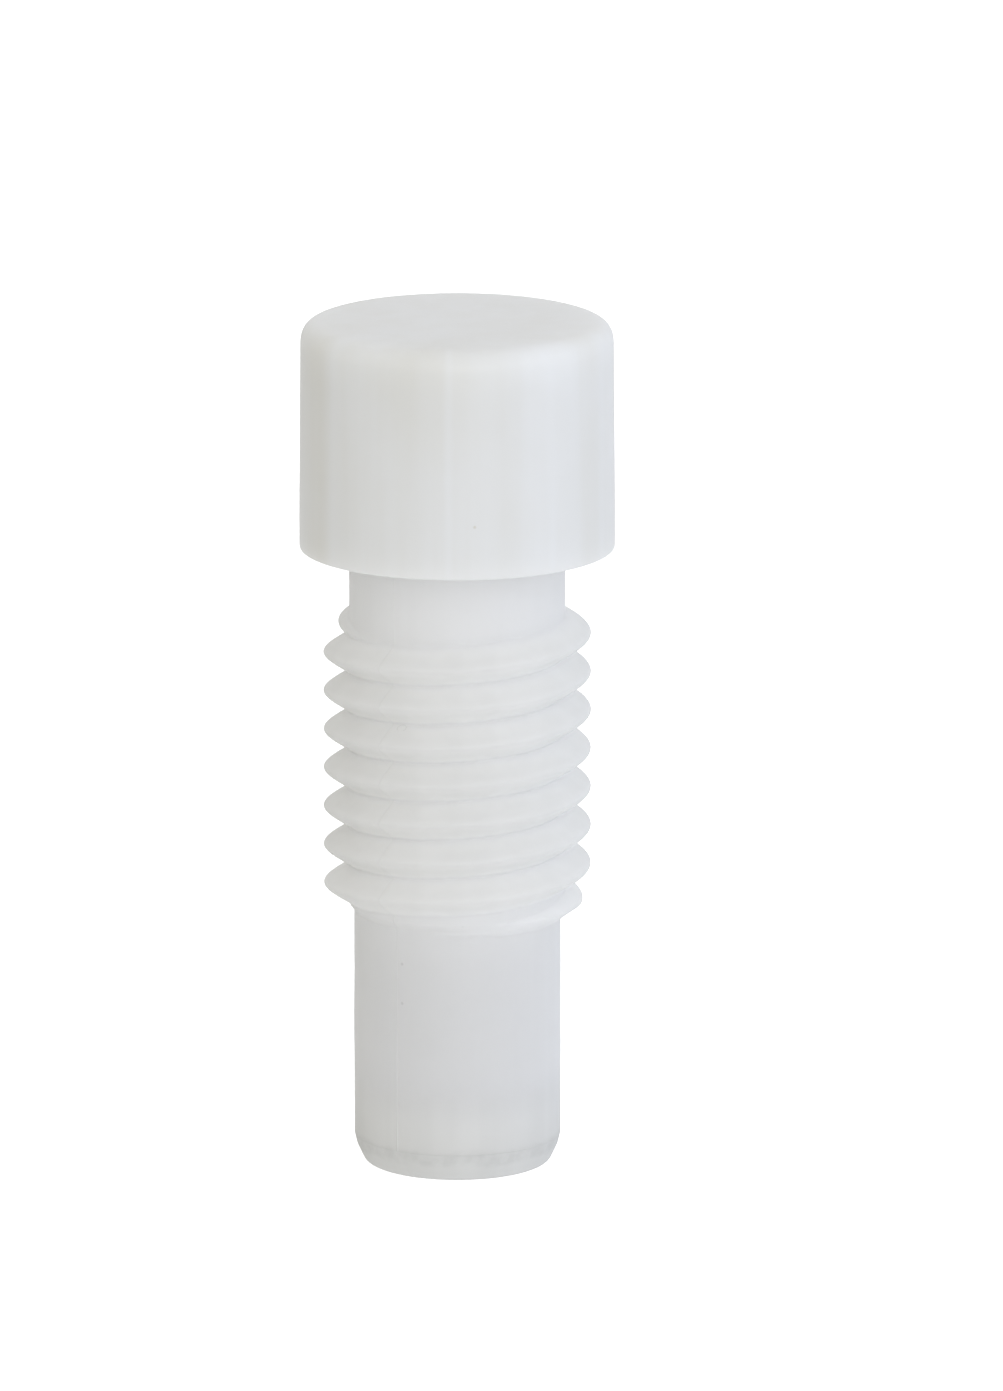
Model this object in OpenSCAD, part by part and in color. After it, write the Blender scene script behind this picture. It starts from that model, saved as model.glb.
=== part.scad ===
// Screw-in wall anchor in natural nylon. A threaded sleeve goes into the wall, a screw down its
// middle pulls a keyed cone nut up inside the shank, and a plain round cap hides the drive.
// Millimetres. The origin is the centre of the head's underside, where it meets the wall, and +Z
// points out of the wall.

/* [Head cap] */
// Outside diameter of the cap
head_d = 14; // [13:0.1:17]
// Height of the cap, from the wall to its top face
head_h = 10.2; // [8.4:0.1:13]
// Radius of the rounded edge round the cap's top face
head_edge_r = 0.9; // [0.3:0.1:1.0]
// Thickness of the cap's side wall
cap_wall = 1.05; // [0.8:0.05:1.3]
// Thickness of the cap's roof
cap_roof = 1.7; // [1.3:0.1:2.1]

/* [Drive boss] */
// Height of the round flange that fills the cap's mouth
flange_h = 1.2; // [0.8:0.1:1.6]
// Space between the boss and the cap's roof
boss_gap = 0.7; // [0.3:0.1:1.2]
// How far the boss's hexagon corners stand inside the flange's edge
boss_inset = 0.15; // [0.1:0.05:0.5]

/* [Neck and thread] */
// Diameter of the neck and of the thread's root
core_d = 9.6; // [9.3:0.1:10.2]
// Length of the plain neck, from the head down to where the thread fades out
neck_l = 2.75; // [1.75:0.05:4]
// Diameter over the thread's crests
thread_d = 12; // [11:0.1:14]
// Distance from one thread to the next
thread_pitch = 1.75; // [1.5:0.05:2.1]
// Length of the thread, between the ends of its ridge
thread_l = 14; // [10:0.1:18]
// Part of a turn over which the ridge sinks into the core at each end
thread_fade = 0.35; // [0.2:0.05:0.6]
// Where the ridge's lower end is round the core, in degrees from +X
thread_start = -125; // [-180:5:180]
// Length of core left below the ridge's lower end
thread_tail = 0.2; // [0.2:0.05:0.6]

/* [Shank and nose] */
// Diameter of the plain shank
shank_d = 9.2; // [8.6:0.1:9.3]
// Length of the shank, from the thread to the nose's seam
shank_l = 9.75; // [7.8:0.05:13]
// Length of the tapered nose
nose_l = 1.3; // [1:0.1:2.4]
// How far the nose tapers in all round, from the shank to its flat end
nose_taper = 0.75; // [0.4:0.05:1.2]
// Length of the nose's spigot inside the shank
spigot_l = 2; // [1.4:0.1:2.6]

/* [Clamp screw] */
// Diameter over the screw's thread
screw_d = 4; // [3.3:0.1:4.8]
// Distance from one of the screw's threads to the next
screw_pitch = 0.7; // [0.6:0.05:0.8]
// Diameter of the screw's head
screw_head_d = 7; // [5.8:0.1:8.4]
// Height of the screw's head
screw_head_h = 2.6; // [2:0.1:3.2]
// Width of the slot in the screw's head
slot_w = 1.2; // [0.8:0.1:1.6]
// Depth of the slot in the screw's head
slot_depth = 1.3; // [0.8:0.1:1.6]
// How far the screw's head sits below the boss's top
head_sink = 0.6; // [0.3:0.1:1]

/* [Cone nut] */
// Thickness of the nut round the screw
nut_wall = 1.1; // [0.9:0.05:1.3]
// Thickness of the nut at its two flats
nut_flat_wall = 0.7; // [0.5:0.05:0.8]
// Thickness of the nut at the small end of its cone
cone_end_wall = 0.4; // [0.3:0.05:0.6]
// Length of the cone nut, with its cone
nut_l = 4.6; // [3.8:0.1:5.6]
// Length of the nut's cone
cone_l = 1.6; // [1:0.1:2]
// Whole turns of the screw between the nut's two stops
nut_turns = 5; // [3:1:6]

/* [Fits] */
// Gap all round a part that slides
slide_gap = 0.05; // [0.03:0.01:0.08]
// Gap all round a part that turns
turn_gap = 0.06; // [0.03:0.01:0.09]
// Gap left between two faces where a movement stops
stop_gap = 0.05; // [0.02:0.01:0.2]

/* [Hidden] */
$fn = 96;
eps = 0.01;
thread_facets = 30;
screw_facets = 18;
// Depth of the screw's thread, as a share of its pitch
screw_thread_depth = 0.613;
// Half widths of a ridge at its root and at its crest, as shares of the pitch
ridge_root_w = 0.47;
ridge_crest_w = 0.055;
// How far the ridge's root lies under the surface of its core
ridge_skin = 0.06;
// How far the ridge's solid reaches into its core, below the root of its faded end
ridge_sink = 0.15;

cap_in_r = head_d / 2 - cap_wall;
flange_r = cap_in_r - slide_gap;
boss_r = flange_r - boss_inset;
boss_top = head_h - cap_roof - boss_gap;
ledge_z = boss_top - head_sink - screw_head_h - stop_gap;
counterbore_r = screw_head_d / 2 + turn_gap;
screw_bore_r = screw_d / 2 + turn_gap;
screw_core_r = screw_d / 2 - screw_thread_depth * screw_pitch;

shank_top_z = -neck_l - thread_l - thread_tail;
seam_z = shank_top_z - shank_l;
tip_z = seam_z - nose_l;

nut_travel = nut_turns * screw_pitch;
spigot_top_z = seam_z + spigot_l;
nut_low_z = spigot_top_z + stop_gap;
nut_top_z = nut_low_z + nut_l;
cone_base_z = nut_top_z - cone_l;
screw_end_z = nut_low_z - screw_pitch;
nut_r = screw_bore_r + nut_wall;
nut_flats = 2 * (screw_bore_r + nut_flat_wall);
cone_end_r = screw_bore_r + cone_end_wall;
nut_bore_r = nut_r + slide_gap;
nut_bore_flats = nut_flats + 2 * slide_gap;

// Share of its full height that the ridge has t turns up, from 0 at both of its ends.
function rise(t, turns, stretch) =
    let (s = max(0, min(1, t / stretch, (turns - t) / stretch)))
    s * s * (3 - 2 * s);

// The ridge's section t turns up: along the root, up one flank, over the crest and down the other.
function ridge_section(t, turns, stretch, crest_r, core_r, pitch, low_z) =
    let (
        skin_r = core_r - ridge_skin,
        h = crest_r - skin_r,
        sunk = (1 - rise(t, turns, stretch)) * h,
        in_r = skin_r - h - ridge_sink,
        root_w = ridge_root_w * pitch,
        crest_w = ridge_crest_w * pitch
    )
    [for (p = [[in_r, -root_w], [skin_r - sunk, -root_w], [crest_r - sunk, -crest_w],
               [crest_r - sunk, crest_w], [skin_r - sunk, root_w], [in_r, root_w]])
        [p[0] * cos(360 * t), p[0] * sin(360 * t), low_z + t * pitch + p[1]]];

// A right-handed thread ridge round +Z that sinks into its core at both ends.
module thread_ridge(crest_r, core_r, pitch, low_z, high_z, facets) {
    turns = (high_z - low_z) / pitch;
    steps = ceil(turns * facets);
    points = [for (i = [0:steps])
        each ridge_section(i * turns / steps, turns, thread_fade, crest_r, core_r, pitch, low_z)];
    sides = [for (i = [0:steps - 1]) for (j = [0:5])
        each let (k = (j + 1) % 6, a = 6 * i, b = 6 * (i + 1))
            [[a + j, a + k, b + j], [b + j, a + k, b + k]]];
    ends = [[for (j = [5:-1:0]) j], [for (j = [0:5]) 6 * steps + j]];
    polyhedron(points, concat(sides, ends));
}

// A round solid from its outline, a list of [radius, height].
module turned(outline) {
    rotate_extrude() polygon(outline);
}

// Keeps the middle of a round solid between two flats, as wide apart as across.
module flatted(across) {
    intersection() {
        children();
        translate([-across / 2, -head_d, tip_z]) cube([across, 2 * head_d, head_h - tip_z]);
    }
}

// Plain round cap: a thick roof with a rounded edge, and a skirt that slips over the flange.
module head_cap() {
    r = head_d / 2;
    roof_z = head_h - cap_roof;
    edge = [for (a = [0:10:90])
        [r - head_edge_r + head_edge_r * cos(a), head_h - head_edge_r + head_edge_r * sin(a)]];
    color([0.90, 0.91, 0.92]) turned(concat(
        [[cap_in_r, 0], [r, 0]],
        edge,
        [[0, head_h], [0, roof_z], [cap_in_r, roof_z]]));
}

// Space that the cone nut slides in, ending in a seat that matches its cone.
module nut_space() {
    flatted(nut_bore_flats) turned([
        [0, seam_z - eps],
        [nut_bore_r, seam_z - eps],
        [nut_bore_r, cone_base_z + nut_travel + stop_gap],
        [cone_end_r + slide_gap, nut_top_z + nut_travel + stop_gap],
        [0, nut_top_z + nut_travel + stop_gap]]);
}

// The one long moulding: hexagon boss, flange, neck, thread and shank, bored for the screw and nut.
module threaded_sleeve() {
    color([0.86, 0.87, 0.86]) difference() {
        union() {
            translate([0, 0, flange_h - eps]) cylinder(r = boss_r, h = boss_top - flange_h + eps, $fn = 6);
            cylinder(r = flange_r, h = flange_h);
            translate([0, 0, shank_top_z]) cylinder(d = core_d, h = -shank_top_z + eps);
            translate([0, 0, seam_z]) cylinder(d = shank_d, h = shank_l + eps);
            rotate(thread_start) thread_ridge(thread_d / 2, core_d / 2, thread_pitch,
                shank_top_z + thread_tail, -neck_l, thread_facets);
        }
        translate([0, 0, ledge_z]) cylinder(r = counterbore_r, h = head_h);
        translate([0, 0, nut_top_z]) cylinder(r = screw_bore_r, h = head_h - nut_top_z);
        nut_space();
    }
}

// Slotted cheese-head screw that turns in the sleeve and carries the nut on its lower end.
module clamp_screw() {
    thread_top_z = nut_top_z + nut_travel;
    head_z = ledge_z + stop_gap;
    color([0.93, 0.93, 0.90]) difference() {
        union() {
            translate([0, 0, head_z]) cylinder(d = screw_head_d, h = screw_head_h);
            translate([0, 0, thread_top_z]) cylinder(d = screw_d, h = head_z - thread_top_z + eps);
            translate([0, 0, screw_end_z])
                cylinder(r = screw_core_r, h = thread_top_z - screw_end_z + eps);
            thread_ridge(screw_d / 2, screw_core_r, screw_pitch,
                screw_end_z + screw_pitch / 2, thread_top_z - screw_pitch / 2, screw_facets);
        }
        translate([-screw_head_d, -slot_w / 2, head_z + screw_head_h - slot_depth])
            cube([2 * screw_head_d, slot_w, 2 * slot_depth]);
    }
}

// Nut with two flats that keep it from turning, and a cone that wedges the shank outwards.
module cone_nut() {
    color([0.94, 0.93, 0.88]) difference() {
        flatted(nut_flats) turned([
            [0, nut_low_z],
            [nut_r, nut_low_z],
            [nut_r, cone_base_z],
            [cone_end_r, nut_top_z],
            [0, nut_top_z]]);
        translate([0, 0, nut_low_z - eps]) cylinder(r = screw_bore_r, h = nut_l + 2 * eps);
    }
}

// Tapered nose with a spigot that presses into the shank and a pocket for the screw's end.
module nose_plug() {
    color([0.82, 0.83, 0.81]) difference() {
        union() {
            translate([0, 0, tip_z]) cylinder(d1 = shank_d - 2 * nose_taper, d2 = shank_d, h = nose_l);
            translate([0, 0, seam_z - eps]) flatted(nut_bore_flats) cylinder(r = nut_bore_r, h = spigot_l + eps);
        }
        translate([0, 0, screw_end_z - stop_gap]) cylinder(r = screw_bore_r, h = nut_l);
    }
}

head_cap();
threaded_sleeve();
clamp_screw();
cone_nut();
nose_plug();
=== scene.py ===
import math

import bmesh
import bpy
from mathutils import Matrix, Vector


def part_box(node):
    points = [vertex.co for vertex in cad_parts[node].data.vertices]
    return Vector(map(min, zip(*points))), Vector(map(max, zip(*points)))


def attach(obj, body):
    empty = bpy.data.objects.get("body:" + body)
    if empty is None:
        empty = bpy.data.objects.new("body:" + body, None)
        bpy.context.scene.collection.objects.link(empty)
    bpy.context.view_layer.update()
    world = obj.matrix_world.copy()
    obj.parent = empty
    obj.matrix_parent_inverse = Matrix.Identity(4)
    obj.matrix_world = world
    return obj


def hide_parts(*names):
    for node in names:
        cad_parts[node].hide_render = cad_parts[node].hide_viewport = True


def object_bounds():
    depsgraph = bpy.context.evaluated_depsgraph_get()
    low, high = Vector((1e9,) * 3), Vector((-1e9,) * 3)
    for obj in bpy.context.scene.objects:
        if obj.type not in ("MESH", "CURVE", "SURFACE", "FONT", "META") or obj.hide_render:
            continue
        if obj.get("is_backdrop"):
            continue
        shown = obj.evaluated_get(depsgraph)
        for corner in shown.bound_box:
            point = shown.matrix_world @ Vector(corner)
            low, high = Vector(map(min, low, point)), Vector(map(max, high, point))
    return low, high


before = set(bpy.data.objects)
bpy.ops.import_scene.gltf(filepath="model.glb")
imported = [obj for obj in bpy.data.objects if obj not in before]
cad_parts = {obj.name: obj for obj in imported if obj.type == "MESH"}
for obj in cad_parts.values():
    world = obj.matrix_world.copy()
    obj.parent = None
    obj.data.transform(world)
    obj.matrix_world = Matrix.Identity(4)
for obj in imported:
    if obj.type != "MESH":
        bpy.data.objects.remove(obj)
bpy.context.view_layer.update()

# ---------------------------------------------------------------- threaded sleeve
# The anchor's body: one long nylon moulding with a hexagon boss, a flange, a plain neck, a coarse
# right-handed thread and a plain shank. It is injection moulded in two halves, so a fine parting
# line runs down both of its sides. The round blank is turned first, and the thread is raised on it.
MM = 0.001
sleeve_low, sleeve_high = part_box("threaded_sleeve")
cap_low, cap_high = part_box("head_cap")
screw_low, screw_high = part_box("clamp_screw")
nut_low, nut_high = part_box("cone_nut")
nose_low, nose_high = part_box("nose_plug")

HEAD_R = cap_high.x
CREST_R = 6.0 * MM
CORE_R = 4.8 * MM
SHANK_R = nose_high.x
FLANGE_R = 5.9 * MM
FLANGE_H = 1.2 * MM
BOSS_R = 5.75 * MM
NECK_L = 2.75 * MM
THREAD_L = 14.0 * MM
CORE_END = 0.55 * MM
THREAD_TAIL = 0.2 * MM
THREAD_START = math.radians(-125)
PITCH = 1.75 * MM
PARTING_LINES = (math.radians(-125.5), math.radians(54.5))
LINE_HEIGHT = 0.025 * MM
LINE_WIDTH = 0.006
SCREW_BORE_R = 2.06 * MM
COUNTERBORE_R = 3.56 * MM
LEDGE_Z = screw_high.z - 2.65 * MM
SEAM_Z = sleeve_low.z
WELD_REACH = 3.5 * MM
OUTSIDE_FROM_R = 4.5 * MM
BOSS_TOP_Z = sleeve_high.z
NUT_GAP = 0.05 * MM
NUT_BORE_R = nut_high.y + NUT_GAP
NUT_BORE_FLAT = nut_high.x + NUT_GAP
NUT_TRAVEL = 3.5 * MM
CONE_L = 1.6 * MM
CONE_END_R = 2.46 * MM


def round_rule(radius, angle):
    return radius


def hexagon_rule(radius, angle):
    """A hexagon whose corners lie near the given radius, with slightly rounded corners."""
    sharp = 60
    reach = sum(abs(math.cos(angle - math.radians(30 + 60 * k))) ** sharp for k in range(3))
    return radius * math.cos(math.radians(30)) / reach ** (1 / sharp)


def flatted_rule(flat):
    """A round section with two flats, each as far from the axis as flat, facing +X and -X."""
    def rule(radius, angle):
        return min(radius, flat / max(abs(math.cos(angle)), 1e-6))
    return rule


def soften(corners, steps=4):
    """An outline of (radius, height, rule) whose corners are rounded: a fourth value is the radius."""
    outline = []
    count = len(corners)
    for i, corner in enumerate(corners):
        here = Vector(corner[:2])
        rule = corner[2]
        fillet = corner[3] if len(corner) > 3 else 0
        before = Vector(corners[i - 1][:2])
        after = Vector(corners[(i + 1) % count][:2])
        if not fillet or i in (0, count - 1):
            outline.append((here.x, here.y, rule))
            continue
        back, ahead = (before - here), (after - here)
        turn = back.angle(ahead)
        reach = min(fillet / math.tan(turn / 2), 0.49 * back.length, 0.49 * ahead.length)
        start, end = here + back.normalized() * reach, here + ahead.normalized() * reach
        for k in range(steps + 1):
            t = k / steps
            p = start * (1 - t) ** 2 + here * 2 * t * (1 - t) + end * t ** 2
            outline.append((p.x, p.y, rule))
    return outline


def columns_round(count, close_to=(), spread=0.012, extra=4):
    """Angles round the axis, evenly spaced, with more of them close to each parting line."""
    angles = [2 * math.pi * i / count for i in range(count)]
    for line in close_to:
        middle = line % (2 * math.pi)
        angles = [a for a in angles if abs(a - middle) > spread * 1.3]
        angles += [middle + spread * k / extra for k in range(-extra, extra + 1)]
    return sorted(angles)


def turn_blank(name, outline, angles, closed_ring=False):
    """A closed mesh round +Z from an outline. A radius of 0 is a pole, and a tube's outline is a ring."""
    mesh = bpy.data.meshes.new(name)
    work = bmesh.new()
    rings = []
    for radius, height, rule in outline:
        if radius < 1e-9:
            rings.append([work.verts.new((0, 0, height))])
        else:
            reaches = [(rule(radius, a), a) for a in angles]
            rings.append([work.verts.new((r * math.cos(a), r * math.sin(a), height)) for r, a in reaches])
    pairs = list(zip(rings, rings[1:]))
    if closed_ring:
        pairs.append((rings[-1], rings[0]))
    for low, high in pairs:
        for i in range(len(angles)):
            j = (i + 1) % len(angles)
            corners = [low[i % len(low)], low[j % len(low)], high[j % len(high)], high[i % len(high)]]
            corners = [v for k, v in enumerate(corners) if v not in corners[:k]]
            if len(corners) > 2:
                work.faces.new(corners)
    bmesh.ops.recalc_face_normals(work, faces=work.faces)
    for face in work.faces:
        face.smooth = True
    work.to_mesh(mesh)
    work.free()
    blank = bpy.data.objects.new(name, mesh)
    bpy.context.scene.collection.objects.link(blank)
    return blank


def rows_between(radius, top_z, low_z, step, rule=round_rule):
    """Evenly spaced rows of an outline down a straight wall."""
    count = max(1, round((top_z - low_z) / step))
    return [(radius, top_z + (low_z - top_z) * i / count, rule) for i in range(count + 1)]


def thread_tree():
    """Raises a right-handed ridge on a round blank, wherever its 'thread' attribute is 1."""
    tree = bpy.data.node_groups.new("cut_thread", "GeometryNodeTree")
    face = tree.interface
    face.new_socket("Geometry", in_out="OUTPUT", socket_type="NodeSocketGeometry")
    face.new_socket("Geometry", in_out="INPUT", socket_type="NodeSocketGeometry")
    for label in ("Pitch", "Ridge height", "Crest rounding", "Flank slope", "Root fillet", "Low end",
                  "Turns", "Start angle", "Low fade", "Fade", "Droop", "Unevenness", "Unevenness size"):
        face.new_socket(label, in_out="INPUT", socket_type="NodeSocketFloat")
    face.new_socket("Material", in_out="INPUT", socket_type="NodeSocketMaterial")
    nodes, links = tree.nodes, tree.links
    given = nodes.new("NodeGroupInput")
    result = nodes.new("NodeGroupOutput")

    def calc(operation, *items):
        node = nodes.new("ShaderNodeMath")
        node.operation = operation
        for socket, item in zip(node.inputs, items):
            if hasattr(item, "is_output"):
                links.new(item, socket)
            else:
                socket.default_value = item
        return node.outputs[0]

    place = nodes.new("GeometryNodeInputPosition")
    split = nodes.new("ShaderNodeSeparateXYZ")
    links.new(place.outputs[0], split.inputs[0])
    x, y, z = split.outputs
    angle = calc("SUBTRACT", calc("ARCTAN2", y, x), given.outputs["Start angle"])
    part_turn = calc("FRACT", calc("DIVIDE", angle, 2 * math.pi))
    height = calc("DIVIDE", calc("SUBTRACT", z, given.outputs["Low end"]), given.outputs["Pitch"])
    which = calc("ROUND", calc("SUBTRACT", height, part_turn))
    along = calc("ADD", which, part_turn)
    off = calc("MULTIPLY", calc("SUBTRACT", height, along), given.outputs["Pitch"])
    left_over = calc("DIVIDE", calc("SUBTRACT", given.outputs["Turns"], along), given.outputs["Fade"])
    bend = calc("MAXIMUM", calc("SUBTRACT", 1.0, left_over), 0.0)
    off = calc("ADD", off, calc("MULTIPLY", bend, given.outputs["Droop"]))

    climb = calc("MINIMUM", calc("DIVIDE", along, given.outputs["Low fade"]), left_over)
    climb = calc("MAXIMUM", calc("MINIMUM", climb, 1.0), 0.0)
    ease = calc("SUBTRACT", 3.0, calc("MULTIPLY", climb, 2.0))
    rise = calc("MULTIPLY", calc("MULTIPLY", climb, climb), ease)

    rounding = given.outputs["Crest rounding"]
    spread = calc("SQRT", calc("ADD", calc("MULTIPLY", off, off), calc("MULTIPLY", rounding, rounding)))
    drop = calc("MULTIPLY", calc("SUBTRACT", spread, rounding), given.outputs["Flank slope"])
    sunk = calc("MULTIPLY", calc("SUBTRACT", 1.0, rise), given.outputs["Ridge height"])
    ridge = calc("SUBTRACT", calc("SUBTRACT", given.outputs["Ridge height"], drop), sunk)
    root = given.outputs["Root fillet"]
    ridge = calc("MULTIPLY", 0.5, calc("SUBTRACT", calc("ADD", ridge, calc("SQRT", calc(
        "ADD", calc("MULTIPLY", ridge, ridge), calc("MULTIPLY", root, root)))), root))
    cut = nodes.new("GeometryNodeInputNamedAttribute")
    cut.data_type = "FLOAT"
    cut.inputs["Name"].default_value = "thread"
    ridge = calc("MULTIPLY", calc("MAXIMUM", ridge, 0.0), cut.outputs[0])

    noise = nodes.new("ShaderNodeTexNoise")
    noise.noise_dimensions = "4D"
    noise.inputs["W"].default_value = 7.0
    noise.inputs["Detail"].default_value = 2.0
    links.new(place.outputs[0], noise.inputs["Vector"])
    links.new(calc("DIVIDE", 1.0, given.outputs["Unevenness size"]), noise.inputs["Scale"])
    skin = nodes.new("GeometryNodeInputNamedAttribute")
    skin.data_type = "FLOAT"
    skin.inputs["Name"].default_value = "skin"
    uneven = calc("MULTIPLY", calc("MULTIPLY", calc("SUBTRACT", noise.outputs[0], 0.5), skin.outputs[0]),
                  given.outputs["Unevenness"])
    grow = calc("ADD", ridge, uneven)

    flat = nodes.new("ShaderNodeCombineXYZ")
    links.new(x, flat.inputs[0])
    links.new(y, flat.inputs[1])
    outward = nodes.new("ShaderNodeVectorMath")
    outward.operation = "NORMALIZE"
    links.new(flat.outputs[0], outward.inputs[0])
    move = nodes.new("ShaderNodeVectorMath")
    move.operation = "SCALE"
    links.new(outward.outputs[0], move.inputs[0])
    links.new(grow, move.inputs["Scale"])
    shift = nodes.new("GeometryNodeSetPosition")
    links.new(given.outputs["Geometry"], shift.inputs["Geometry"])
    links.new(move.outputs[0], shift.inputs["Offset"])
    real = nodes.new("GeometryNodeRealizeInstances")
    links.new(shift.outputs[0], real.inputs[0])
    paint = nodes.new("GeometryNodeSetMaterial")
    links.new(real.outputs[0], paint.inputs["Geometry"])
    links.new(given.outputs["Material"], paint.inputs["Material"])
    links.new(paint.outputs[0], result.inputs[0])
    return tree


def mark(blank, label, test):
    """Writes 1 on the blank's points where the test of (radius, height) holds, and 0 elsewhere."""
    points = blank.data.vertices
    layer = blank.data.attributes.new(label, "FLOAT", "POINT")
    layer.data.foreach_set("value", [float(test(math.hypot(p.co.x, p.co.y), p.co.z)) for p in points])


def cut_by_tree(blank, tree, inputs):
    """Runs a Geometry Nodes tree on a blank and leaves a plain mesh with the blank's name."""
    step = blank.modifiers.new("cut", "NODES")
    step.node_group = tree
    sockets = {s.name: s.identifier for s in tree.interface.items_tree
               if s.item_type == "SOCKET" and s.in_out == "INPUT"}
    for label, amount in inputs.items():
        step[sockets[label]] = amount
    shown = blank.evaluated_get(bpy.context.evaluated_depsgraph_get())
    cut = bpy.data.meshes.new_from_object(shown)
    blank.modifiers.remove(step)
    old = blank.data
    blank.data = cut
    bpy.data.meshes.remove(old)
    cut.name = blank.name
    for label in ("thread", "skin"):
        if label in cut.attributes:
            cut.attributes.remove(cut.attributes[label])
    for face in cut.polygons:
        face.use_smooth = True


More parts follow.
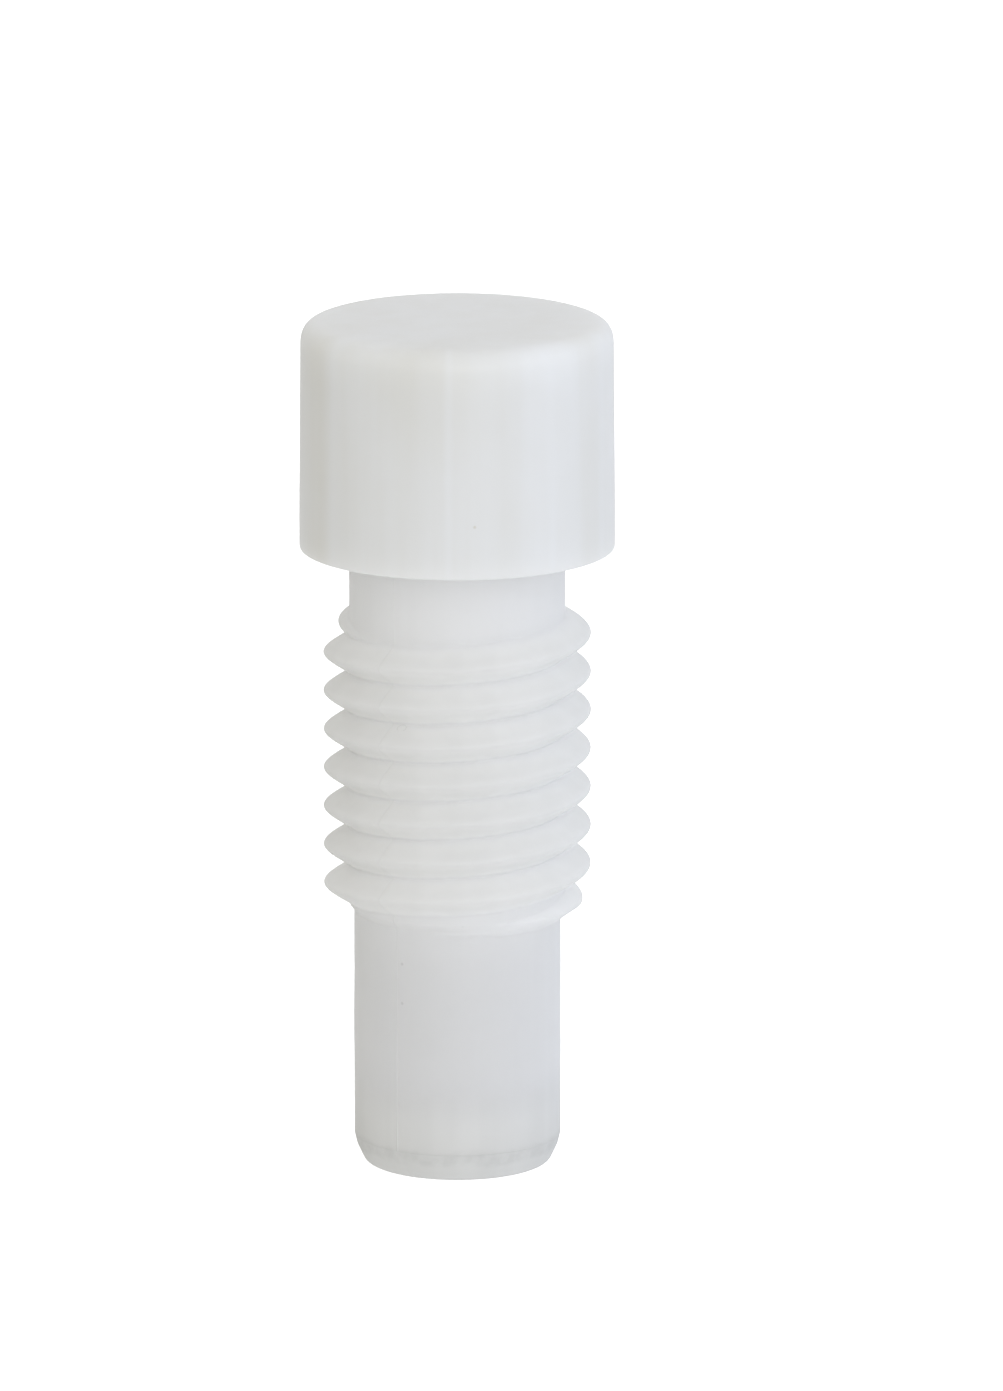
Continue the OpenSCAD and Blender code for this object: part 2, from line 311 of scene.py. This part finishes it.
def natural_nylon(name, colour, shade, roughness, grain, patina=0.03, depth=4.5 * MM,
                  specks_and_painted_patches=(), curls=(), seam=None, streaks_and_painted_light=(), wall_r=None, crest_painted_shade=None):
    """Milky moulded nylon: light spreads inside it, with faint haze, flow streaks, grain and dust specks. It
    can also carry painted light: painted shade on the thread crests and toward the weld, and bands and
    patches of painted highlight and painted shade.
    """
    haze_shade, flow_shade = 0.35, 0.25
    curl_shade, curl_relief, torn_relief, torn_roughness = 1.3, 8.0, 4.0, 0.15
    material = bpy.data.materials.new(name)
    material.use_nodes = True
    nodes, links = material.node_tree.nodes, material.node_tree.links
    nylon = nodes["Principled BSDF"]
    nylon.inputs["IOR"].default_value = 1.53
    nylon.inputs["Subsurface Weight"].default_value = 1.0
    nylon.inputs["Subsurface Radius"].default_value = (1.0, 0.995, 0.98)
    nylon.inputs["Subsurface Scale"].default_value = depth
    nylon.inputs["Specular IOR Level"].default_value = 0.3
    where = nodes.new("ShaderNodeTexCoord").outputs["Object"]

    def calc(operation, *items):
        node = nodes.new("ShaderNodeMath")
        node.operation = operation
        for socket, item in zip(node.inputs, items):
            if hasattr(item, "is_output"):
                links.new(item, socket)
            else:
                socket.default_value = item
        return node.outputs[0]

    def noise(scale, detail, stretch=(1, 1, 1)):
        mapping = nodes.new("ShaderNodeMapping")
        mapping.inputs["Scale"].default_value = stretch
        links.new(where, mapping.inputs["Vector"])
        texture = nodes.new("ShaderNodeTexNoise")
        texture.inputs["Scale"].default_value = scale
        texture.inputs["Detail"].default_value = detail
        links.new(mapping.outputs[0], texture.inputs["Vector"])
        return texture.outputs[0]

    def ramp(item, low, high, low_out, high_out):
        node = nodes.new("ShaderNodeMapRange")
        node.interpolation_type = "SMOOTHSTEP"
        links.new(item, node.inputs["Value"])
        limits = {"From Min": low, "From Max": high, "To Min": low_out, "To Max": high_out}
        for label, limit in limits.items():
            node.inputs[label].default_value = limit
        return node.outputs[0]

    def distance_from(spot):
        gap = nodes.new("ShaderNodeVectorMath")
        gap.operation = "DISTANCE"
        links.new(where, gap.inputs[0])
        gap.inputs[1].default_value = spot
        return gap.outputs["Value"]

    split = nodes.new("ShaderNodeSeparateXYZ")
    links.new(where, split.inputs[0])
    haze = ramp(noise(160, 2), 0.3, 0.7, 0.0, haze_shade)
    flow = ramp(noise(900, 2, (1, 1, 0.05)), 0.3, 0.7, 0.0, flow_shade)
    amount = calc("ADD", haze, flow)
    angle = calc("ARCTAN2", split.outputs[1], split.outputs[0])
    flat = nodes.new("ShaderNodeCombineXYZ")
    links.new(split.outputs[0], flat.inputs[0])
    links.new(split.outputs[1], flat.inputs[1])
    reach = nodes.new("ShaderNodeVectorMath")
    reach.operation = "LENGTH"
    links.new(flat.outputs[0], reach.inputs[0])
    # Vertical bands round the wall: real dark lines at the sleeve's parting lines, and on the cap mostly
    # painted highlight and painted shade.
    on_wall = ramp(reach.outputs["Value"], 0.75 * wall_r, 0.98 * wall_r, 0.0, 1.0) if streaks_and_painted_light else None
    for middle, width, strength in streaks_and_painted_light:
        away = calc("ABSOLUTE", calc("SUBTRACT", angle, math.radians(middle)))
        band = ramp(away, 0.0, math.radians(width), strength, 0.0)
        amount = calc("ADD", amount, calc("MULTIPLY", band, on_wall))
    # Painted shade: the colour darkens from the thread's root out to its crest, evening out the thread's
    # light and shade.
    if crest_painted_shade:
        root_r, crest_r, strength = crest_painted_shade
        amount = calc("ADD", amount, ramp(reach.outputs["Value"], root_r, crest_r, 0.0, strength))
    relief = calc("ADD", noise(5200, 4), noise(420, 1))
    spread = ramp(noise(300, 1), 0.3, 0.7, roughness - patina, roughness + patina)
    if seam:
        seam_z, seam_half, strength, weld_painted_shade = seam
        from_weld = calc("ABSOLUTE", calc("SUBTRACT", split.outputs[2], SEAM_Z))
        links.new(ramp(from_weld, 0.0, WELD_REACH, 0.1, 1.0), nylon.inputs["Subsurface Weight"])
        # Painted shade: the colour darkens toward the weld, where the light-spreading is turned down.
        amount = calc("ADD", amount, ramp(from_weld, 0.0, WELD_REACH, weld_painted_shade, 0.0))
        wander = calc("MULTIPLY", calc("SUBTRACT", noise(500, 3), 0.5), 1.6 * seam_half)
        away = calc("ABSOLUTE", calc("SUBTRACT", calc("ADD", split.outputs[2], wander), seam_z))
        torn = ramp(noise(2400, 4, (1, 1, 0.7)), 0.35, 0.65, 0.35, 1.0)
        torn = calc("MULTIPLY", ramp(away, 0.2 * seam_half, seam_half, 1.0, 0.0), torn)
        amount = calc("ADD", amount, calc("MULTIPLY", torn, strength))
        spread = calc("ADD", spread, calc("MULTIPLY", torn, torn_roughness))
        relief = calc("SUBTRACT", relief, calc("MULTIPLY", torn, torn_relief))
    # Round spots: small real specks, and on the cap a broad patch of painted shade.
    for spot, size, strength in specks_and_painted_patches:
        amount = calc("ADD", amount, ramp(distance_from(spot), 0.3 * size, size, strength, 0.0))
    for spot, size, side in curls:
        away = calc("ABSOLUTE", calc("SUBTRACT", distance_from(spot), size))
        line = ramp(away, 0.0, 0.16 * size, 1.0, 0.0)
        above = calc("MULTIPLY", calc("SUBTRACT", split.outputs[2], spot[2]), side)
        line = calc("MULTIPLY", line, calc("GREATER_THAN", above, -0.1 * size))
        amount = calc("ADD", amount, calc("MULTIPLY", line, curl_shade))
        relief = calc("ADD", relief, calc("MULTIPLY", line, curl_relief))
    mix = nodes.new("ShaderNodeMix")
    mix.data_type = "RGBA"
    mix.clamp_factor = False
    mix.inputs["A"].default_value = (*colour, 1)
    mix.inputs["B"].default_value = (*shade, 1)
    links.new(amount, mix.inputs["Factor"])
    links.new(mix.outputs["Result"], nylon.inputs["Base Color"])
    links.new(spread, nylon.inputs["Roughness"])
    bump = nodes.new("ShaderNodeBump")
    bump.inputs["Strength"].default_value = 0.5
    bump.inputs["Distance"].default_value = grain
    links.new(relief, bump.inputs["Height"])
    links.new(bump.outputs[0], nylon.inputs["Normal"])
    return material


def on_skin(azimuth, height, radius):
    """A place on the outside, at an azimuth in degrees from +X and a height and radius in millimetres."""
    a = math.radians(azimuth)
    return (radius * math.cos(a) * MM, radius * math.sin(a) * MM, height * MM)


sleeve_nylon = natural_nylon(
    "sleeve_nylon", (0.98, 0.98, 0.965), (0.89, 0.89, 0.875), 0.5, 0.003 * MM,
    specks_and_painted_patches=((on_skin(-46, -5.3, 5.6), 0.14 * MM, 1.8), (on_skin(-87, -16.2, 4.9), 0.14 * MM, 1.8),
           (on_skin(-122, -18.1, 4.6), 0.10 * MM, 1.5), (on_skin(-122, -19.9, 4.6), 0.10 * MM, 1.5)),
    # The crest darkening is painted shade.
    wall_r=SHANK_R, crest_painted_shade=(CORE_R, CREST_R, 2.4),
    curls=((on_skin(-119, -7.3, 5.0), 0.22 * MM, 1), (on_skin(-134, -8.7, 5.0), 0.16 * MM, -1)),
    # The torn ring is the weld's own rough tone; the seam's last value paints shade toward the weld.
    seam=(SEAM_Z, 0.3 * MM, 0.3, 2.2),
    streaks_and_painted_light=((-125.5, 0.8, 0.35), (54.5, 0.8, 0.35)))


def parted_rule(radius, angle):
    """Round, with a fine raised line where the two halves of the mould met."""
    gaps = [math.remainder(angle - middle, 2 * math.pi) for middle in PARTING_LINES]
    return radius + LINE_HEIGHT * sum(math.exp(-(gap / LINE_WIDTH) ** 2) for gap in gaps)


shank_top_z = -NECK_L - THREAD_L - THREAD_TAIL
cone_seat_z = nut_high.z - CONE_L + NUT_TRAVEL + NUT_GAP
cone_top_z = nut_high.z + NUT_TRAVEL + NUT_GAP
nut_rule = flatted_rule(NUT_BORE_FLAT)
boss_side = soften([
    (COUNTERBORE_R, LEDGE_Z + 0.5 * MM, round_rule),
    (COUNTERBORE_R, BOSS_TOP_Z, round_rule, 0.15 * MM),
    (BOSS_R, BOSS_TOP_Z, hexagon_rule, 0.25 * MM),
    (BOSS_R, FLANGE_H, hexagon_rule, 0.12 * MM),
    (FLANGE_R, FLANGE_H, round_rule, 0.12 * MM),
    (FLANGE_R, 0, round_rule, 0.1 * MM),
    (CORE_R + 0.3 * MM, 0, round_rule),
])
neck = soften([
    (CORE_R + 0.3 * MM, 0, round_rule),
    (CORE_R, 0, parted_rule, 0.3 * MM),
    (CORE_R, -1.0 * MM, parted_rule),
])[1:]
core_end_z = -NECK_L - THREAD_L + CORE_END
thread_rows = rows_between(CORE_R, -1.1 * MM, core_end_z, PITCH / 32, parted_rule)
last_rows = rows_between(SHANK_R, core_end_z - 0.25 * MM, shank_top_z - 0.4 * MM, PITCH / 32, parted_rule)
shank = rows_between(SHANK_R, shank_top_z - 0.6 * MM, SEAM_Z + 0.3 * MM, 0.3 * MM, parted_rule)
shank_end = soften([
    (SHANK_R, SEAM_Z + 0.2 * MM, parted_rule),
    (SHANK_R, SEAM_Z + 0.02 * MM, parted_rule),
    (SHANK_R, SEAM_Z, parted_rule),
    (NUT_BORE_R, SEAM_Z, nut_rule, 0.06 * MM),
    (NUT_BORE_R, SEAM_Z + 0.5 * MM, nut_rule),
])
bore = soften([
    (NUT_BORE_R, cone_seat_z - 2 * MM, nut_rule),
    (NUT_BORE_R, cone_seat_z, nut_rule, 0.1 * MM),
    (CONE_END_R + NUT_GAP, cone_top_z, nut_rule, 0.05 * MM),
    (SCREW_BORE_R, cone_top_z, round_rule, 0.1 * MM),
    (SCREW_BORE_R, LEDGE_Z, round_rule, 0.15 * MM),
    (COUNTERBORE_R, LEDGE_Z, round_rule, 0.1 * MM),
    (COUNTERBORE_R, LEDGE_Z + 0.4 * MM, round_rule),
])
sleeve = turn_blank("sleeve_moulding", boss_side + neck + thread_rows + last_rows + shank + shank_end + bore,
                    columns_round(200, PARTING_LINES), closed_ring=True)
thread_low_z, thread_high_z = shank_top_z - 0.35 * MM, -1.05 * MM
skin_low_z, skin_high_z = SEAM_Z + 0.3 * MM, -0.5 * MM
mark(sleeve, "thread", lambda r, z: r > OUTSIDE_FROM_R and thread_low_z < z < thread_high_z)
mark(sleeve, "skin", lambda r, z: r > OUTSIDE_FROM_R and skin_low_z < z < skin_high_z)
cut_thread = thread_tree()
cut_by_tree(sleeve, cut_thread, {
    "Pitch": PITCH, "Ridge height": CREST_R - CORE_R, "Crest rounding": 0.24 * MM, "Flank slope": 1.75,
    "Root fillet": 0.12 * MM, "Low end": -NECK_L - THREAD_L, "Turns": THREAD_L / PITCH,
    "Start angle": THREAD_START, "Low fade": 0.55, "Fade": 0.35, "Droop": 1.0 * MM,
    "Unevenness": 0.05 * MM, "Unevenness size": 3.0 * MM, "Material": sleeve_nylon})
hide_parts("threaded_sleeve")
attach(sleeve, "sleeve")

# ---------------------------------------------------------------- nose plug
# The tapered end that closes the shank: a small nylon plug whose flatted spigot is pressed into the
# bore once the nut is in. The weld round its rim is left rough, as a torn, slightly darker ring.
NOSE_TAPER = 0.75 * MM
PLUG_POCKET_R = 2.06 * MM
pocket_z = screw_low.z - 0.05 * MM
# Its colour is darker than the sleeve's: painted shade on the anchor's lower end.
nose_nylon = natural_nylon(
    "nose_nylon", (0.76, 0.762, 0.748), (0.67, 0.672, 0.658), 0.55, 0.004 * MM, depth=2.0 * MM,
    seam=(SEAM_Z - 0.25 * MM, 0.5 * MM, 0.7, 0.0))
nose_outline = soften([
    (0, pocket_z, round_rule),
    (PLUG_POCKET_R, pocket_z, round_rule, 0.15 * MM),
    (PLUG_POCKET_R, nose_high.z, round_rule, 0.1 * MM),
    (NUT_BORE_R, nose_high.z, nut_rule, 0.15 * MM),
    (NUT_BORE_R, SEAM_Z, nut_rule),
    (SHANK_R, SEAM_Z, round_rule),
    (SHANK_R, SEAM_Z - 0.02 * MM, round_rule),
    (SHANK_R - 0.15 * NOSE_TAPER, SEAM_Z - 0.5 * MM, round_rule, 0.8 * MM),
    (SHANK_R - 0.65 * NOSE_TAPER, nose_low.z, round_rule, 0.4 * MM),
    (0.5 * SHANK_R, nose_low.z, round_rule),
    (0, nose_low.z, round_rule),
], steps=6)
nose = turn_blank("nose_moulding", nose_outline, columns_round(180))
nose.data.materials.append(nose_nylon)
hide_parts("nose_plug")
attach(nose, "sleeve")

# ---------------------------------------------------------------- cone nut
# The nut inside the shank, moulded in slightly warmer nylon. Its two flats keep it from turning, and
# its cone is drawn up into the tapered seat. Its bore is plain, with no thread of its own.
NUT_R = nut_high.y
NUT_FLAT = nut_high.x
nut_nylon = natural_nylon("nut_nylon", (0.86, 0.85, 0.80), (0.78, 0.77, 0.72), 0.5, 0.004 * MM)
body_rule = flatted_rule(NUT_FLAT)
nut = turn_blank("nut_moulding", soften([
    (SCREW_BORE_R, nut_low.z + 1.5 * MM, round_rule),
    (SCREW_BORE_R, nut_low.z, round_rule, 0.15 * MM),
    (NUT_R, nut_low.z, body_rule, 0.15 * MM),
    (NUT_R, nut_high.z - CONE_L, body_rule, 0.1 * MM),
    (CONE_END_R, nut_high.z, body_rule, 0.08 * MM),
    (SCREW_BORE_R, nut_high.z, round_rule, 0.08 * MM),
    (SCREW_BORE_R, nut_high.z - 1.5 * MM, round_rule),
]), columns_round(144), closed_ring=True)
nut.data.materials.append(nut_nylon)
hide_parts("cone_nut")
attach(nut, "nut")

# ---------------------------------------------------------------- clamp screw
# A nylon cheese-head screw. It turns on the ledge inside the boss, and its fine thread carries the
# nut. The head has a plain slot for a screwdriver, with sharp edges.
SCREW_R = 2.0 * MM
SCREW_PITCH = 0.7 * MM
SCREW_RIDGE = 0.613 * SCREW_PITCH
SCREW_HEAD_R = screw_high.x
SCREW_HEAD_H = 2.6 * MM
SLOT_W = 1.2 * MM
SLOT_DEPTH = 1.3 * MM
screw_nylon = natural_nylon("screw_nylon", (0.87, 0.87, 0.84), (0.79, 0.79, 0.76), 0.42, 0.003 * MM)
head_z = screw_high.z - SCREW_HEAD_H
thread_top_z = nut_high.z + NUT_TRAVEL
screw_core_r = SCREW_R - SCREW_RIDGE
screw = turn_blank("screw_moulding", soften([
    (0, screw_high.z, round_rule),
    (SCREW_HEAD_R, screw_high.z, round_rule, 0.3 * MM),
    (SCREW_HEAD_R, head_z, round_rule, 0.1 * MM),
    (SCREW_R, head_z, round_rule, 0.15 * MM),
    (SCREW_R, thread_top_z, round_rule, 0.05 * MM),
    (screw_core_r, thread_top_z, round_rule),
]) + rows_between(screw_core_r, thread_top_z - 0.01 * MM, screw_low.z + 0.05 * MM, SCREW_PITCH / 16)
    + [(screw_core_r - 0.1 * MM, screw_low.z, round_rule), (0, screw_low.z, round_rule)],
    columns_round(120))
mark(screw, "thread", lambda r, z: abs(r - screw_core_r) < 0.01 * MM)
mark(screw, "skin", lambda r, z: False)
cut_by_tree(screw, cut_thread, {
    "Pitch": SCREW_PITCH, "Ridge height": SCREW_RIDGE, "Crest rounding": 0.06 * MM, "Flank slope": 1.6,
    "Root fillet": 0.02 * MM, "Low end": screw_low.z + SCREW_PITCH / 2,
    "Turns": (thread_top_z - screw_low.z) / SCREW_PITCH - 1, "Start angle": 0.0,
    "Low fade": 0.35, "Fade": 0.35, "Droop": 0.0, "Unevenness": 0.0, "Unevenness size": 1.0 * MM,
    "Material": screw_nylon})
blade_mesh = bpy.data.meshes.new("slot_blade")
blade_work = bmesh.new()
bmesh.ops.create_cube(blade_work, size=1.0)
for corner in blade_work.verts:
    corner.co = Vector((corner.co.x * 3 * SCREW_HEAD_R, corner.co.y * SLOT_W,
                        screw_high.z + corner.co.z * 2 * SLOT_DEPTH))
blade_work.to_mesh(blade_mesh)
blade_work.free()
blade = bpy.data.objects.new("slot_blade", blade_mesh)
bpy.context.scene.collection.objects.link(blade)
slot_cut = screw.modifiers.new("slot", "BOOLEAN")
slot_cut.operation = "DIFFERENCE"
slot_cut.solver = "EXACT"
slot_cut.object = blade
slotted = bpy.data.meshes.new_from_object(screw.evaluated_get(bpy.context.evaluated_depsgraph_get()))
screw.modifiers.remove(slot_cut)
screw.data = slotted
bpy.data.objects.remove(blade)
screw.data.materials.clear()
screw.data.materials.append(screw_nylon)
screw.data.set_sharp_from_angle(angle=math.radians(40))
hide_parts("clamp_screw")
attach(screw, "screw")

# ---------------------------------------------------------------- head cap
# The plain round cap over the boss: glossy nylon from a polished mould, with a soft edge round its
# top and slightly wavy sides. It slips over the flange and pulls straight off.
HEAD_TOP_Z = cap_high.z
CAP_WALL = 1.05 * MM
CAP_ROOF = 1.7 * MM
CAP_EDGE = 0.95 * MM
CAP_DRAFT = 0.07 * MM
cap_in_r = HEAD_R - CAP_WALL
cap_nylon = natural_nylon(
    "cap_nylon", (0.855, 0.863, 0.865), (0.80, 0.797, 0.772), 0.36, 0.001 * MM,
    patina=0.006, depth=1.2 * MM, wall_r=HEAD_R,
    # The large warm patch near the top front is painted shade with a warm tint; the small spot is a speck.
    specks_and_painted_patches=((on_skin(-83.5, 2.4, 7.0), 0.10 * MM, 1.8), (on_skin(-100, 8.4, 6.6), 4.2 * MM, 0.45)),
    # These bands are mostly painted light: a lighter, cooler band right of the front is a painted highlight,
    # the left side is painted shade with a lighter strip at its edge, and the narrow lines near the front
    # are partly the cap's own streaks. The cool colour and warm shade above tint them.
    streaks_and_painted_light=((-108.0, 16.0, 0.3), (-93.0, 2.5, -0.3), (-82.0, 8.0, -0.2), (-56.0, 20.0, -0.5),
           (-32.0, 9.0, 0.3), (-142.0, 7.0, -0.5), (-150.0, 24.0, 0.8)))


def cap_rule(radius, angle):
    """Round, but for the faint waves that the plastic takes as it cools over the boss."""
    wave = math.sin(5 * angle + 0.6) + 0.6 * math.sin(9 * angle + 2.0) + 0.5 * math.sin(14 * angle + 4.0)
    return radius * (0.9991 + 0.0004 * wave)


cap = turn_blank("cap_moulding", soften([
    (0, HEAD_TOP_Z, cap_rule),
    (0.45 * HEAD_R, HEAD_TOP_Z - 0.01 * MM, cap_rule),
    (HEAD_R - CAP_DRAFT, HEAD_TOP_Z - 0.03 * MM, cap_rule, CAP_EDGE),
    (HEAD_R - 0.8 * CAP_DRAFT, HEAD_TOP_Z - 2.2 * MM, cap_rule),
    (HEAD_R - 0.4 * CAP_DRAFT, 0.5 * HEAD_TOP_Z, cap_rule),
    (HEAD_R, 1.5 * MM, cap_rule),
    (HEAD_R, 0, cap_rule, 0.12 * MM),
    (cap_in_r, 0, round_rule, 0.1 * MM),
    (cap_in_r, HEAD_TOP_Z - CAP_ROOF, round_rule, 0.4 * MM),
    (0, HEAD_TOP_Z - CAP_ROOF, round_rule),
], steps=10), columns_round(256))
cap.data.materials.append(cap_nylon)
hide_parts("head_cap")
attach(cap, "cap")

# ---------------------------------------------------------------- floor, lights and camera
# A seamless white floor, soft grey walls that are darker on the left and a touch cooler on the right,
# one broad lamp in front, and a long lens a little above the anchor, aimed to its right.
FLOOR_SIZE = 3.0
LEFT_WALL = (0.565, 0.56, 0.53)
FRONT_WALL = (0.795, 0.793, 0.79)
RIGHT_WALL = (0.80, 0.835, 0.90)
LOW_LIGHT = 1.05
HIGH_LIGHT = 1.02
LAMP_AIM_Z = -10 * MM
floor_mesh = bpy.data.meshes.new("floor")
half = FLOOR_SIZE / 2
floor_z = nose_low.z
floor_mesh.from_pydata([(-half, -half, floor_z), (half, -half, floor_z), (half, half, floor_z),
                        (-half, half, floor_z)], [], [(0, 1, 2, 3)])
floor = bpy.data.objects.new("floor", floor_mesh)
bpy.context.scene.collection.objects.link(floor)
paper = bpy.data.materials.new("white_paper")
paper.use_nodes = True
paper_face = paper.node_tree.nodes["Principled BSDF"]
paper_face.inputs["Base Color"].default_value = (0.96, 0.96, 0.96, 1)
paper_face.inputs["Roughness"].default_value = 0.9
paper_face.inputs["Emission Color"].default_value = (1, 1, 1, 1)
paper_face.inputs["Emission Strength"].default_value = 0.75
floor_mesh.materials.append(paper)
floor.visible_diffuse = False
floor.visible_glossy = False
floor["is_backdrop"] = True

world = bpy.data.worlds.new("studio")
world.use_nodes = True
sky, sky_links = world.node_tree.nodes, world.node_tree.links
facing = sky.new("ShaderNodeSeparateXYZ")
sky_links.new(sky.new("ShaderNodeTexCoord").outputs["Generated"], facing.inputs[0])
across = sky.new("ShaderNodeMapRange")
sky_links.new(facing.outputs[0], across.inputs["Value"])
across.inputs["From Min"].default_value = -1.0
wall = sky.new("ShaderNodeValToRGB")
wall.color_ramp.interpolation = "EASE"
wall.color_ramp.elements[0].color = (*LEFT_WALL, 1)
wall.color_ramp.elements[1].color = (*RIGHT_WALL, 1)
wall.color_ramp.elements.new(0.5).color = (*FRONT_WALL, 1)
sky_links.new(across.outputs[0], wall.inputs[0])
sky_links.new(wall.outputs["Color"], sky["Background"].inputs["Color"])
upward = sky.new("ShaderNodeMapRange")
sky_links.new(facing.outputs[2], upward.inputs["Value"])
upward.inputs["From Min"].default_value = -1.0
upward.inputs["To Min"].default_value = LOW_LIGHT
upward.inputs["To Max"].default_value = HIGH_LIGHT
sky_links.new(upward.outputs[0], sky["Background"].inputs["Strength"])
bpy.context.scene.world = world


def studio_light(name, azimuth, elevation, distance, size, power, colour):
    """A square soft light that points at the anchor. Azimuth 0 is the camera's side, 90 its right."""
    lamp = bpy.data.lights.new(name, "AREA")
    lamp.size = size
    lamp.energy = power
    lamp.color = colour
    a, e = math.radians(azimuth), math.radians(elevation)
    place = Vector((math.sin(a) * math.cos(e), -math.cos(a) * math.cos(e), math.sin(e))) * distance
    holder = bpy.data.objects.new(name, lamp)
    bpy.context.scene.collection.objects.link(holder)
    holder.location = place + Vector((0, 0, LAMP_AIM_Z))
    holder.rotation_mode = "QUATERNION"
    holder.rotation_quaternion = (-place).to_track_quat("-Z", "Y")


studio_light("key", 6, 0, 0.5, 0.3, 0.65, (0.95, 0.97, 1.0))

ELEVATION = math.radians(13.2)
LENS = 400.0
SENSOR = 36.0
VIEW_HEIGHT = 61.77 * MM
AIM_RIGHT = 1.96 * MM
AIM_UP = 2.05 * MM
camera_data = bpy.data.cameras.new("camera")
camera_data.lens = LENS
camera_data.sensor_width = SENSOR
camera = bpy.data.objects.new("camera", camera_data)
bpy.context.scene.collection.objects.link(camera)
low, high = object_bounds()
middle = (low + high) / 2
distance = LENS / SENSOR * VIEW_HEIGHT
back = Vector((0, -math.cos(ELEVATION), math.sin(ELEVATION)))
up = Vector((0, math.sin(ELEVATION), math.cos(ELEVATION)))
camera.location = middle + back * distance + Vector((AIM_RIGHT, 0, 0)) + up * AIM_UP
camera.rotation_mode = "QUATERNION"
camera.rotation_quaternion = (-back).to_track_quat("-Z", "Y")
camera_data.clip_start = 0.01
camera_data.clip_end = 20.0
bpy.context.scene.camera = camera
bpy.context.scene.view_settings.view_transform = "Standard"
